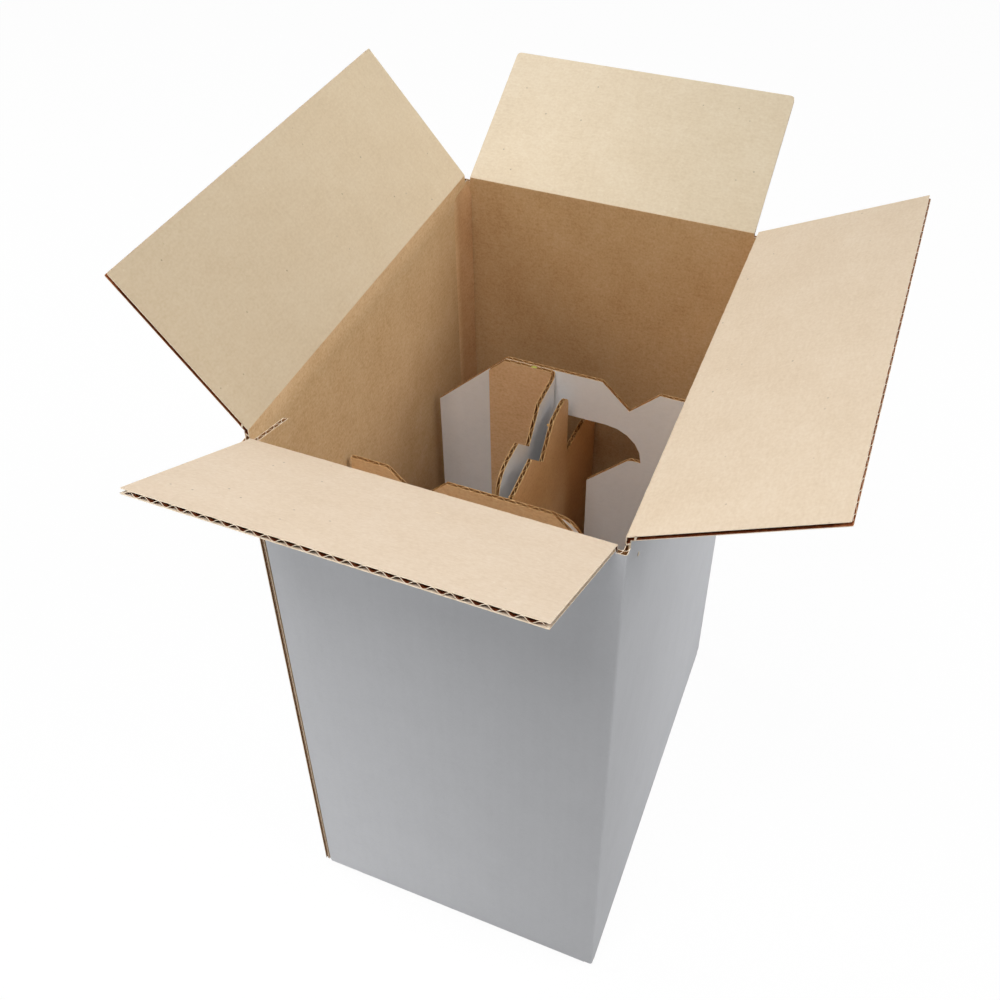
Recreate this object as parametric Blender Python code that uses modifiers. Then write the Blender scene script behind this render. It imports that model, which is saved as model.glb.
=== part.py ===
"""Bottle shipping box: a tall corrugated carton with four open top flaps and a
die-cut cell insert of four interlocked boards that keeps two bottles apart.

Metres, +Z up. The origin is the middle of the box's underside, the front wall
faces -Y and the right wall faces +X.
"""
from math import pi, radians, sin, sqrt, tan

import bmesh
import bpy
from mathutils import Matrix, Vector

MM = 0.001

# Driving dimensions of the carton
WIDTH = 188 * MM             # outside, left wall to right wall
DEPTH = 262 * MM             # outside, front wall to back wall
CREASE_HEIGHT = 386.5 * MM   # hinge line of the front and back flaps
BOARD = 2.5 * MM             # corrugated board thickness
BEND = 3 * MM                # outer radius of a fold
CORNER_SLOT = 5 * MM         # from a box corner to the side of a flap
SLOT_SINK = 1.5 * MM         # slot floor below the lower hinge line
FLAP_MEETING_GAP = 1 * MM    # between two closed flaps
CORNER_ROUND = 0.6 * MM      # round of a flap's free corners
WORN_CORNER_ROUND = 2.5 * MM   # the same on the back flap, which is worn
TAB_REACH = 33.4 * MM        # glue tab, from the front face to its free edge
TAB_TAPER = 9 * MM           # fall of the tab's end edges along its reach
SEAM_OFFSET = 2 * MM         # bottom seam beside the middle line
SEAM_GAP = 0.6 * MM

# Open angles of the flaps, above level, as the box stands open
OPEN_LEFT = 50.9
OPEN_RIGHT = 26.5
OPEN_FRONT = 28.6
OPEN_BACK = 30.1

# Clearances
FIT = 0.3 * MM               # between pieces that touch
GLUE_LINE = 0.2 * MM         # between glued boards
TAB_SINK = 0.4 * MM          # tab top below a closed front flap

# Corrugation seen at the cut edges
FLUTE_PITCH = 6.5 * MM
LINER = 0.35 * MM
MEDIUM = 0.3 * MM
CELL_WIDE = 4.5 * MM         # flute opening along its liner
CELL_NARROW = 1.3 * MM       # flute opening at its crest
CELL_DEPTH = 5 * MM
CELL_MARGIN = 3.5 * MM       # solid board left at both ends of an edge
GROOVE_WIDTH = 1.0 * MM      # flute cut open along a side edge
GROOVE_DEPTH = 1.4 * MM
GROOVE_MARGIN = 6 * MM

# Insert: two equal cross panels, the front one turned half a turn
INSERT_TOP = 304 * MM
INSERT_SET_BACK = 11.2 * MM  # insert's centre behind the box's
LEFT_PLAY = 2.9 * MM         # front panel to the left wall
RIGHT_PLAY = 11.5 * MM       # rear panel to the right wall
PANEL_SPACING = 113.8 * MM   # middle of the front panel to middle of the rear one
PANEL_SHIFT = 0.45 * MM      # each panel's middle beside the insert's centre
PANEL_CHAMFER = 47 * MM
PANEL_NOTCH_PLACE = 43.8 * MM  # V notch, from the insert's centre line
PANEL_NOTCH_HALF = 18 * MM
HOLE_DROP = 33 * MM          # panel top to the top of its hole
HOLE_ROUND = 24 * MM
HOLE_EAR_HEIGHT = 24.7 * MM
HOLE_EAR_REACH = 53.5 * MM   # from the insert's centre line
HOLE_EAR_SLOPE = 27 * MM     # run of the ear's slanted underside
HOLE_SLOT_NEAR = 0.7 * MM    # slot's near side, past the insert's centre line
HOLE_SLOT_FAR = 19.1 * MM    # slot's far side, from the insert's centre line
HOLE_SLOT_LIFT = 38.5 * MM   # slot's end above the panel's foot
HOLE_BLEND = 6 * MM

# Dividers, along the board from the middle of their fold
DIVIDER_DROP = 3.5 * MM      # divider top below the panels' top
SHOULDER_ROUND = 15 * MM
SHOULDER_DROP = 54.5 * MM    # divider top to the root of its tongue
TONGUE_FALL = 13 * MM        # fall of the tongue's top along its length
TONGUE_LIFT = 12 * MM        # tongue's underside above the slot's end
TONGUE_ROUND = 6 * MM
GLUE_FLAP = 43.5 * MM
GLUE_FLAP_ROUND = 15 * MM
LEFT_NOTCH_PLACE = 46 * MM
LEFT_NOTCH_HALF = 18 * MM
LEFT_SHOULDER = 95 * MM
LEFT_FOLD_SHIFT = 4.7 * MM   # fold beside the insert's centre line
LEFT_END_SHIFT = 2.2 * MM    # tongue's end beside the insert's centre line
RIGHT_NOTCH_PLACE = 55 * MM
RIGHT_NOTCH_HALF = 20 * MM
RIGHT_SHOULDER = 104 * MM
RIGHT_FOLD_SHIFT = 9.6 * MM
RIGHT_END_SHIFT = 3.1 * MM

ARC_STEPS = 5
CUT_OVERRUN = 1 * MM         # how far a cutter passes the face it cuts

# Worked out from the sizes above
HALF_X = WIDTH / 2
HALF_Y = DEPTH / 2
UPPER_CREASE = CREASE_HEIGHT + BOARD + FIT
FLAP_LENGTH = (WIDTH - FLAP_MEETING_GAP) / 2
SLOT_FLOOR = CREASE_HEIGHT - SLOT_SINK
MITRE_SINK = FIT * sqrt(2)   # wall mitre under the flap's, for a gap of FIT
LOWER_FLAP = BOARD + GLUE_LINE
WALL_FOOT = LOWER_FLAP + BEND
TAB_X = -HALF_X + BOARD + GLUE_LINE
INSERT_FLOOR = LOWER_FLAP + BOARD + FIT
PANEL_WIDTH = WIDTH - 2 * BOARD - LEFT_PLAY - RIGHT_PLAY - 2 * PANEL_SHIFT
INSERT_CENTRE_X = -HALF_X + BOARD + LEFT_PLAY + PANEL_WIDTH / 2 + PANEL_SHIFT
HOLE_SLOT_FLOOR = INSERT_FLOOR + HOLE_SLOT_LIFT
DIVIDER_TOP = INSERT_TOP - DIVIDER_DROP
FOLD_Y = (PANEL_SPACING - BOARD) / 2 - GLUE_LINE - BOARD / 2
DIVIDER_LENGTH = HALF_Y - BOARD - FIT - INSERT_SET_BACK + FOLD_Y

LINER_WHITE = (0.80, 0.80, 0.79, 1)
KRAFT = (0.62, 0.45, 0.29, 1)
INSERT_WHITE = (0.66, 0.63, 0.59, 1)
INSERT_BROWN = (0.45, 0.31, 0.18, 1)


def clear_scene():
    """Remove every object that the file holds."""
    for thing in list(bpy.data.objects):
        bpy.data.objects.remove(thing, do_unlink=True)


def make_collection(name):
    """A new collection in the scene."""
    collection = bpy.data.collections.new(name)
    bpy.context.scene.collection.children.link(collection)
    return collection


def make_material(name, colour, roughness=0.85):
    """A plain paper-like Principled material."""
    material = bpy.data.materials.new(name)
    material.use_nodes = True
    shader = material.node_tree.nodes["Principled BSDF"]
    shader.inputs["Base Color"].default_value = colour
    shader.inputs["Roughness"].default_value = roughness
    shader.inputs["Metallic"].default_value = 0
    return material


def rounded(corners, closed):
    """Points of a path whose (x, y, radius) corners are rounded where radius > 0."""
    points = []
    last = len(corners) - 1
    for index, (x, y, radius) in enumerate(corners):
        corner = Vector((x, y))
        if radius <= 0 or (not closed and index in (0, last)):
            points.append(corner)
            continue
        before = (Vector(corners[index - 1][:2]) - corner).normalized()
        after = (Vector(corners[(index + 1) % len(corners)][:2]) - corner).normalized()
        half = before.angle(after) / 2
        centre = corner + (before + after).normalized() * radius / sin(half)
        start = corner + before * radius / tan(half) - centre
        end = corner + after * radius / tan(half) - centre
        turn = start.angle_signed(end)
        for step in range(ARC_STEPS + 1):
            spin = Matrix.Rotation(-turn * step / ARC_STEPS, 2)
            points.append(centre + spin @ start)
    return points


def link_mesh(name, mesh, collection, material=None):
    """An object for a mesh or bmesh in a collection."""
    if isinstance(mesh, bmesh.types.BMesh):
        data = bpy.data.meshes.new(name)
        mesh.to_mesh(data)
        mesh.free()
        mesh = data
    thing = bpy.data.objects.new(name, mesh)
    if material is not None:
        mesh.materials.append(material)
    collection.objects.link(thing)
    return thing


def flat_board(name, loops, collection, material):
    """A board cut to flat outlines, BOARD thick about its local XY plane."""
    curve = bpy.data.curves.new(name + "_outline", "CURVE")
    curve.dimensions = "2D"
    curve.fill_mode = "BOTH"
    curve.extrude = BOARD / 2
    for loop in loops:
        spline = curve.splines.new("POLY")
        spline.points.add(len(loop) - 1)
        for point, place in zip(spline.points, loop):
            point.co = (place[0], place[1], 0, 1)
        spline.use_cyclic_u = True
    guide = bpy.data.objects.new(name + "_outline", curve)
    collection.objects.link(guide)
    graph = bpy.context.evaluated_depsgraph_get()
    data = bpy.data.meshes.new_from_object(guide.evaluated_get(graph))
    bpy.data.objects.remove(guide)
    mesh = bmesh.new()
    mesh.from_mesh(data)
    bpy.data.meshes.remove(data)
    bmesh.ops.remove_doubles(mesh, verts=mesh.verts, dist=MM / 100)
    bmesh.ops.recalc_face_normals(mesh, faces=mesh.faces)
    return link_mesh(name, mesh, collection, material)


def add_prism(mesh, outline, placement, low, high):
    """A prism on a flat outline, from low to high along the placement's Z."""
    base = [mesh.verts.new(placement @ Vector((x, y, low))) for x, y in outline]
    face = mesh.faces.new(base)
    grown = bmesh.ops.extrude_face_region(mesh, geom=[face])["geom"]
    top = [item for item in grown if isinstance(item, bmesh.types.BMVert)]
    lift = placement.to_3x3() @ Vector((0, 0, high - low))
    bmesh.ops.translate(mesh, verts=top, vec=lift)


def add_box(mesh, low, high, placement=None):
    """A box between two corners."""
    low, high = Vector(low), Vector(high)
    size = Matrix.Diagonal((*(high - low), 1))
    move = Matrix.Translation((low + high) / 2) @ size
    if placement is not None:
        move = placement @ move
    bmesh.ops.create_cube(mesh, size=1, matrix=move)


def add_flute_cells(mesh, placement, length):
    """Blind flute openings along an edge: X along the edge, Y out of the board,
    Z through the board's thickness, with the origin in the middle of the edge."""
    height = BOARD - 2 * LINER - MEDIUM
    deep = CELL_DEPTH + CUT_OVERRUN
    count = int((length - 2 * CELL_MARGIN) / FLUTE_PITCH * 2)
    start = -(count - 1) * FLUTE_PITCH / 4
    for index in range(count):
        side = 1 if index % 2 else -1
        wide_z = side * (BOARD / 2 - LINER)
        for vert in bmesh.ops.create_cube(mesh, size=1)["verts"]:
            at_liner = vert.co.z > 0
            span = CELL_WIDE if at_liner else CELL_NARROW
            place = Vector((
                start + index * FLUTE_PITCH / 2 + vert.co.x * span,
                CUT_OVERRUN - deep / 2 + vert.co.y * deep,
                wide_z if at_liner else wide_z - side * height,
            ))
            vert.co = placement @ place


def cut(thing, cutter_mesh, name, cutters):
    """Cut a bmesh of closed islands out of a solid, in the solid's own frame."""
    bmesh.ops.recalc_face_normals(cutter_mesh, faces=cutter_mesh.faces)
    cutter = link_mesh(name, cutter_mesh, cutters)
    cutter.parent = thing
    cutter.hide_render = True
    cutter.display_type = "WIRE"
    boolean = thing.modifiers.new(name, "BOOLEAN")
    boolean.operation = "DIFFERENCE"
    boolean.solver = "EXACT"
    boolean.object = cutter


def thicken(thing, amount):
    """Give an open surface its board thickness behind its normals."""
    solid = thing.modifiers.new("board", "SOLIDIFY")
    solid.thickness = amount
    solid.offset = -1
    solid.use_even_offset = True


def extrude_edges(mesh, edges, path):
    """Carry a row of edges along a path of 3D points and return the last row."""
    for before, after in zip(path, path[1:]):
        grown = bmesh.ops.extrude_edge_only(mesh, edges=edges)["geom"]
        verts = {item for item in grown if isinstance(item, bmesh.types.BMVert)}
        bmesh.ops.translate(mesh, verts=list(verts), vec=after - before)
        edges = [
            item for item in grown
            if isinstance(item, bmesh.types.BMEdge) and set(item.verts) <= verts
        ]
    return edges


def edges_along(mesh, level, inward, place, low, high):
    """Level edges on the outer plane of the wall that faces away from inward."""
    along = Vector((-inward.y, inward.x, 0))
    found = []
    for edge in mesh.edges:
        ends = [vert.co for vert in edge.verts]
        on_level = all(abs(end.z - level) < FIT for end in ends)
        on_plane = all(abs(end.dot(inward) - place) < FIT / 10 for end in ends)
        in_span = all(low - FIT < end.dot(along) < high + FIT for end in ends)
        if on_level and on_plane and in_span:
            found.append(edge)
    return found


def flap_fold(inward, lift, reach):
    """Path of a bottom flap's outer face from the wall's foot to its free edge."""
    corners = [(0, WALL_FOOT, 0), (0, lift, BEND), (reach, lift, 0)]
    path = []
    for run, height in rounded(corners, closed=False):
        point = inward * run + Vector((0, 0, height))
        if not path or (point - path[-1]).length > FIT / 10:
            path.append(point)
    return path


WALLS = {
    "left": (Vector((1, 0, 0)), -HALF_X, HALF_Y, UPPER_CREASE),
    "right": (Vector((-1, 0, 0)), -HALF_X, HALF_Y, UPPER_CREASE),
    "front": (Vector((0, 1, 0)), -HALF_Y, HALF_X, CREASE_HEIGHT),
    "back": (Vector((0, -1, 0)), -HALF_Y, HALF_X, CREASE_HEIGHT),
}


def outer_box(parts, cutters, material):
    """The carton: four walls, the glue tab and four closed bottom flaps."""
    slot_x, slot_y = HALF_X - CORNER_SLOT, HALF_Y - CORNER_SLOT
    plan = rounded([
        (-HALF_X, -HALF_Y, 0),
        (-HALF_X, -slot_y, 0),
        (-HALF_X, slot_y, 0),
        (-HALF_X, HALF_Y, BEND),
        (-slot_x, HALF_Y, 0),
        (slot_x, HALF_Y, 0),
        (HALF_X, HALF_Y, BEND),
        (HALF_X, slot_y, 0),
        (HALF_X, -slot_y, 0),
        (HALF_X, -HALF_Y, BEND),
        (slot_x, -HALF_Y, 0),
        (TAB_X, -HALF_Y, BEND),
        (TAB_X, -HALF_Y + TAB_REACH, 0),
    ], closed=False)
    mesh = bmesh.new()
    row = [mesh.verts.new((x, y, WALL_FOOT)) for x, y in plan]
    base = [mesh.edges.new(pair) for pair in zip(row, row[1:])]
    foot, rim = Vector((0, 0, WALL_FOOT)), Vector((0, 0, SLOT_FLOOR))
    extrude_edges(mesh, base, [foot, rim])

    seam = {"left": SEAM_OFFSET, "right": -SEAM_OFFSET}
    for side, (inward, place, half_span, crease) in WALLS.items():
        span = half_span - CORNER_SLOT
        low_end = TAB_X + BEND if side == "front" else -span
        along = Vector((-inward.y, inward.x, 0))
        ends = (-span, -low_end) if along.x < 0 else (low_end, span)
        feet = edges_along(mesh, WALL_FOOT, inward, place, *ends)
        if side in seam:
            path = flap_fold(inward, 0, HALF_X + seam[side] - SEAM_GAP / 2)
        else:
            path = flap_fold(inward, LOWER_FLAP, FLAP_LENGTH)
        extrude_edges(mesh, feet, path)
        tops = edges_along(mesh, SLOT_FLOOR, inward, place, *ends)
        extrude_edges(mesh, tops, [rim, Vector((0, 0, crease + CUT_OVERRUN))])

    bmesh.ops.recalc_face_normals(mesh, faces=mesh.faces)
    outward = min(mesh.faces, key=lambda face: face.calc_center_median().x)
    if outward.normal.x > 0:
        bmesh.ops.reverse_faces(mesh, faces=mesh.faces)
    box = link_mesh("outer_box", mesh, parts, material)
    thicken(box, BOARD)

    rims = bmesh.new()
    for inward, place, half_span, crease in WALLS.values():
        frame = wall_frame(inward, place, crease - MITRE_SINK)
        low, high = -CUT_OVERRUN, BOARD + CUT_OVERRUN
        over = 2 * CUT_OVERRUN
        wedge = [(low, -low), (high, -high), (high, over + BOARD), (low, over + BOARD)]
        reach = half_span - CORNER_SLOT + FIT
        add_prism(rims, wedge, frame, -reach, reach)
    groove_x = -HALF_X + BOARD / 2
    add_box(
        rims,
        (groove_x - GROOVE_WIDTH / 2, -HALF_Y - CUT_OVERRUN, WALL_FOOT + GROOVE_MARGIN),
        (groove_x + GROOVE_WIDTH / 2, -HALF_Y + GROOVE_DEPTH, SLOT_FLOOR - GROOVE_MARGIN),
    )
    cut(box, rims, "rim_mitres", cutters)

    tab = bmesh.new()
    near = -HALF_Y + BEND + FIT
    far = -HALF_Y + TAB_REACH + CUT_OVERRUN
    top = CREASE_HEIGHT - BOARD - TAB_SINK
    side_on = Matrix(((0, 0, 1, 0), (1, 0, 0, 0), (0, 1, 0, 0), (0, 0, 0, 1)))
    tab_faces = (TAB_X - GLUE_LINE / 2, TAB_X + BOARD + GLUE_LINE)
    upper = [(near, top), (far, top - TAB_TAPER), (far, SLOT_FLOOR + BOARD), (near, SLOT_FLOOR + BOARD)]
    lower = [(near, WALL_FOOT), (far, WALL_FOOT + TAB_TAPER), (far, LOWER_FLAP), (near, LOWER_FLAP)]
    for outline in (upper, lower):
        add_prism(tab, outline, side_on, *tab_faces)
    cut(box, tab, "tab_taper", cutters)
    return box


def wall_frame(inward, place, height):
    """Frame on a wall's outer face: X inward, Y up and Z along the wall."""
    along = inward.cross(Vector((0, 0, 1)))
    turn = Matrix((inward, Vector((0, 0, 1)), along)).transposed().to_4x4()
    return Matrix.Translation(inward * place + Vector((0, 0, height))) @ turn


def top_flap(side, opening, corner_round, parts, cutters, material):
    """A top flap whose origin is the middle of its hinge line: X along the
    hinge, Y away from it and Z towards its inner face."""
    inward, place, half_span, crease = WALLS[side]
    half = half_span - CORNER_SLOT
    outline = rounded([
        (-half, -CUT_OVERRUN / 2, 0),
        (half, -CUT_OVERRUN / 2, 0),
        (half, FLAP_LENGTH, corner_round),
        (-half, FLAP_LENGTH, corner_round),
    ], closed=True)
    flap = flat_board("flap_" + side, [outline], parts, material)
    flap.data.transform(Matrix.Translation((0, 0, BOARD / 2)))

    root = bmesh.new()
    low, high = -CUT_OVERRUN, BOARD + CUT_OVERRUN
    wedge = [(low, low), (high, high), (low, high)]
    hinge = Matrix(((0, 0, 1, 0), (1, 0, 0, 0), (0, 1, 0, 0), (0, 0, 0, 1)))
    add_prism(root, wedge, hinge, -half - CUT_OVERRUN, half + CUT_OVERRUN)
    for end in (-1, 1):
        inner, outer = end * (half - GROOVE_DEPTH), end * (half + CUT_OVERRUN)
        middle = BOARD / 2
        add_box(
            root,
            (min(inner, outer), BOARD + GROOVE_MARGIN, middle - GROOVE_WIDTH / 2),
            (max(inner, outer), FLAP_LENGTH - GROOVE_MARGIN, middle + GROOVE_WIDTH / 2),
        )
    edge = Matrix.Translation((0, FLAP_LENGTH, BOARD / 2))
    add_flute_cells(root, edge, 2 * half)
    cut(flap, root, "flap_%s_cuts" % side, cutters)

    outward = -inward
    flap.location = inward * place + Vector((0, 0, crease))
    heading = Vector((0, 1)).angle_signed(Vector((outward.x, outward.y)))
    flap.rotation_euler = (radians(opening), 0, -heading)
    return flap


def panel_outlines():
    """Outline and hole of a cross panel, x from the insert's centre and y up."""
    left = -PANEL_WIDTH / 2 + PANEL_SHIFT
    right = PANEL_WIDTH / 2 + PANEL_SHIFT
    notch, half = PANEL_NOTCH_PLACE, PANEL_NOTCH_HALF
    edge = rounded([
        (left, INSERT_FLOOR, 0),
        (right, INSERT_FLOOR, 0),
        (right, INSERT_TOP, 0),
        (notch + half, INSERT_TOP, 0),
        (notch, INSERT_TOP - half, 0),
        (notch - half, INSERT_TOP, 0),
        (left + PANEL_CHAMFER, INSERT_TOP, 0),
        (left, INSERT_TOP - PANEL_CHAMFER, 0),
    ], closed=True)
    hole_top = INSERT_TOP - HOLE_DROP
    ear_floor = hole_top - HOLE_EAR_HEIGHT
    hole = rounded([
        (-HOLE_SLOT_NEAR, HOLE_SLOT_FLOOR, 0),
        (-HOLE_SLOT_NEAR, hole_top, 0),
        (HOLE_EAR_REACH, hole_top, HOLE_ROUND),
        (HOLE_EAR_REACH, ear_floor, 0),
        (HOLE_SLOT_FAR + HOLE_EAR_SLOPE, ear_floor, HOLE_BLEND),
        (HOLE_SLOT_FAR, ear_floor - HOLE_EAR_SLOPE, 0),
        (HOLE_SLOT_FAR, HOLE_SLOT_FLOOR, 0),
    ], closed=True)
    return edge, hole


def cross_panel(name, turned, parts, material):
    """A standing panel with its keyhole; the front one is the rear one turned
    half a turn about the insert's centre."""
    panel = flat_board(name, panel_outlines(), parts, material)
    side = -1 if turned else 1
    panel.location = (INSERT_CENTRE_X, INSERT_SET_BACK + side * PANEL_SPACING / 2, 0)
    panel.rotation_euler = (pi / 2, 0, pi if turned else 0)
    return panel


def divider(name, turned, shape, parts, cutters, material):
    """A divider that is glued to one panel by a folded flap and passes its
    tongue through the other panel's hole. The left one has its fold at +Y; the
    right one is turned half a turn about the insert's centre."""
    fold_shift, end_shift, notch, half, shoulder = shape
    white_at_fold = BOARD / 2 - fold_shift
    white_at_end = BOARD / 2 - end_shift
    back_y = FOLD_Y + BOARD / 2
    corner = white_at_fold - GLUE_FLAP
    plan = rounded([
        (white_at_end, FOLD_Y - DIVIDER_LENGTH - CUT_OVERRUN, 0),
        (white_at_fold, back_y, BEND),
        (corner - CUT_OVERRUN, back_y, 0),
    ], closed=False)
    mesh = bmesh.new()
    row = [mesh.verts.new((x, y, INSERT_FLOOR)) for x, y in plan]
    base = [mesh.edges.new(pair) for pair in zip(row, row[1:])]
    over = DIVIDER_TOP + CUT_OVERRUN
    extrude_edges(mesh, base, [Vector((0, 0, INSERT_FLOOR)), Vector((0, 0, over))])
    bmesh.ops.recalc_face_normals(mesh, faces=mesh.faces)
    if max(mesh.faces, key=lambda face: face.calc_area()).normal.x < 0:
        bmesh.ops.reverse_faces(mesh, faces=mesh.faces)
    board = link_mesh(name, mesh, parts, material)
    thicken(board, BOARD)

    above = over + CUT_OVERRUN
    below = INSERT_FLOOR - CUT_OVERRUN
    beyond = DIVIDER_LENGTH + 2 * CUT_OVERRUN
    root = DIVIDER_TOP - SHOULDER_DROP
    tongue_floor = HOLE_SLOT_FLOOR + TONGUE_LIFT
    body = rounded([
        (BEND, DIVIDER_TOP, 0),
        (notch - half, DIVIDER_TOP, 0),
        (notch, DIVIDER_TOP - half, 0),
        (notch + half, DIVIDER_TOP, 0),
        (shoulder, DIVIDER_TOP, SHOULDER_ROUND),
        (shoulder, root, 0),
        (DIVIDER_LENGTH, root - TONGUE_FALL, TONGUE_ROUND),
        (DIVIDER_LENGTH, tongue_floor, TONGUE_ROUND),
        (shoulder, tongue_floor, 0),
        (shoulder, below, 0),
        (beyond, below, 0),
        (beyond, above, 0),
        (BEND, above, 0),
    ], closed=True)
    body_cut = bmesh.new()
    side_on = Matrix(((0, 0, 1, 0), (-1, 0, 0, FOLD_Y), (0, 1, 0, 0), (0, 0, 0, 1)))
    sweep = max(fold_shift, end_shift) + BOARD + CUT_OVERRUN
    add_prism(body_cut, body, side_on, -sweep, sweep)
    cut(board, body_cut, name + "_body_outline", cutters)

    flap = rounded([
        (corner, below, 0),
        (corner, DIVIDER_TOP, GLUE_FLAP_ROUND),
        (white_at_fold + CUT_OVERRUN, DIVIDER_TOP, 0),
        (white_at_fold + CUT_OVERRUN, above, 0),
        (corner - 2 * CUT_OVERRUN, above, 0),
        (corner - 2 * CUT_OVERRUN, below, 0),
    ], closed=True)
    flap_cut = bmesh.new()
    face_on = Matrix(((1, 0, 0, 0), (0, 0, -1, back_y), (0, 1, 0, 0), (0, 0, 0, 1)))
    add_prism(flap_cut, flap, face_on, -CUT_OVERRUN, BOARD + CUT_OVERRUN)
    cut(board, flap_cut, name + "_flap_outline", cutters)

    board.location = (INSERT_CENTRE_X, INSERT_SET_BACK, 0)
    board.rotation_euler = (0, 0, pi if turned else 0)
    return board


def main():
    """Build the carton, its flaps and its insert."""
    clear_scene()
    parts = make_collection("bottle_shipping_box")
    cutters = make_collection("cutters")
    outer_box(parts, cutters, make_material("white_liner", LINER_WHITE))
    flap_material = make_material("kraft_liner", KRAFT)
    top_flap("left", OPEN_LEFT, CORNER_ROUND, parts, cutters, flap_material)
    top_flap("right", OPEN_RIGHT, CORNER_ROUND, parts, cutters, flap_material)
    top_flap("front", OPEN_FRONT, CORNER_ROUND, parts, cutters, flap_material)
    top_flap("back", OPEN_BACK, WORN_CORNER_ROUND, parts, cutters, flap_material)
    panel_material = make_material("insert_white_liner", INSERT_WHITE)
    cross_panel("insert_rear_panel", False, parts, panel_material)
    cross_panel("insert_front_panel", True, parts, panel_material)
    divider_material = make_material("insert_kraft_liner", INSERT_BROWN)
    left = (LEFT_FOLD_SHIFT, LEFT_END_SHIFT, LEFT_NOTCH_PLACE, LEFT_NOTCH_HALF, LEFT_SHOULDER)
    right = (RIGHT_FOLD_SHIFT, RIGHT_END_SHIFT, RIGHT_NOTCH_PLACE, RIGHT_NOTCH_HALF, RIGHT_SHOULDER)
    divider("insert_left_divider", False, left, parts, cutters, divider_material)
    divider("insert_right_divider", True, right, parts, cutters, divider_material)


main()
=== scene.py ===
"""Bottle shipping box: the corrugated boards of the carton and of its insert, made
as liners glued to a wavy medium, with crushed creases where the flaps fold.

Metres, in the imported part's frame: the front wall faces -Y, the right wall +X.
"""
import math

import bmesh
import bpy
from mathutils import Matrix, Vector, noise
from mathutils.bvhtree import BVHTree


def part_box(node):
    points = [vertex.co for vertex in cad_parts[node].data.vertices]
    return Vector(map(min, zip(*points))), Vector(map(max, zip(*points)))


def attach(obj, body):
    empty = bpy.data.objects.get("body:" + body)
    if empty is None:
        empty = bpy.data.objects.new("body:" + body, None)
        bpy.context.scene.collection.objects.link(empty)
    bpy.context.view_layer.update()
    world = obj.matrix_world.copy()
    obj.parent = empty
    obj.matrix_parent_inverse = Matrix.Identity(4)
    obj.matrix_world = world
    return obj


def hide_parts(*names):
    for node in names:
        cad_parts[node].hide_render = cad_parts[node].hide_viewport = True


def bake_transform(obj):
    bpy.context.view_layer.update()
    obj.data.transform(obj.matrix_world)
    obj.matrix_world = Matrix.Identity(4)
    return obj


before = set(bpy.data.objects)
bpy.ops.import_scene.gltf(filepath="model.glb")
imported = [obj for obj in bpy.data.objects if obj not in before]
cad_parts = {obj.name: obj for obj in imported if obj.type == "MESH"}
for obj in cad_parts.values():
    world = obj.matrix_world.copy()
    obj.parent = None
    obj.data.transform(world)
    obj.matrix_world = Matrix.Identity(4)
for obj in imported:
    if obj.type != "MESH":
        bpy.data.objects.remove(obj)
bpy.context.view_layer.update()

MM = 0.001
UP = Vector((0, 0, 1))
X, Y, Z = (1, 0, 0), (0, 1, 0), (0, 0, 1)
AROUND = (1, 1, 0)           # along every wall of the carton

# Sizes of the part that the dressing follows
HALF_X, HALF_Y = 94 * MM, 131 * MM
BOARD = 2.5 * MM
BEND = 3 * MM
SIDE_CREASE, END_CREASE = 389.3 * MM, 386.5 * MM
SLOT = 5 * MM
FLAP_LENGTH = 93.5 * MM
OPEN_FLUTE = 1.8 * MM        # cut flute left open along a flap's sides
FOLD = 1.3 * MM              # outer radius of a scored fold
FOLD_STEPS = 6
WALL_FOOT = 5.7 * MM         # just above the bottom flaps and their folds
INNER_BOTTOM = 2.7 * MM      # underside of the front and back bottom flaps
TAB_X = -91.3 * MM           # outer face of the glue tab inside the left wall
TAB_REACH = 33.4 * MM
INSERT_CENTRE = Vector((-4.3, 11.2, 0)) * MM
PANEL_CHAMFER = 47 * MM
DIVIDER_FOLD = 54.2 * MM     # middle of a divider's glue flap behind the insert's centre
DIVIDER_LENGTH = 171.2 * MM
GLUE_FLAP = 43.5 * MM
INSERT_UPPER = 280 * MM      # only tops of the insert's boards lie above it
FLAP_FRONT = 63.7 * MM       # left glue flap lies behind it
SHOULDER_LOW = 285.5 * MM    # foot of the right divider's round shoulder
SHOULDER_START = 12 * MM
SHOULDER_SHARE = 0.69        # of the height that a cut lower shoulder keeps

# Corrugated board
LINER = 0.34 * MM
MEDIUM = 0.28 * MM
FLUTE_PITCH = 6.8 * MM
FLUTE_STEPS = 10             # stations a pitch
ARC_STEPS = 8
WAVE = 0.83 * MM             # half height of the medium's middle line
SKIN = 0.2 * MM              # depth at which a board's reach is felt
JOIN = 4 * MM                # most that a cut edge moves in one flute station
SHORTEST = 2 * MM            # least stretch of medium that is made
RUN_UP = 12 * MM             # start of a feeling line before the board
FLOOD_ANGLE = math.radians(30)
SHARP_ANGLE = math.radians(40)
FLAT_ANGLE = 0.002           # faces of one flat side, in radians

# side: inward direction, distance of the wall's outer face from the middle, height of
# the crease, half length of the hinge, degrees of the flap above level
WALLS = {
    "left": (Vector((1, 0, 0)), HALF_X, SIDE_CREASE, HALF_Y - SLOT, 50.9),
    "right": (Vector((-1, 0, 0)), HALF_X, SIDE_CREASE, HALF_Y - SLOT, 26.5),
    "front": (Vector((0, 1, 0)), HALF_Y, END_CREASE, HALF_X - SLOT, 28.6),
    "back": (Vector((0, -1, 0)), HALF_Y, END_CREASE, HALF_X - SLOT, 30.1),
}


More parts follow.
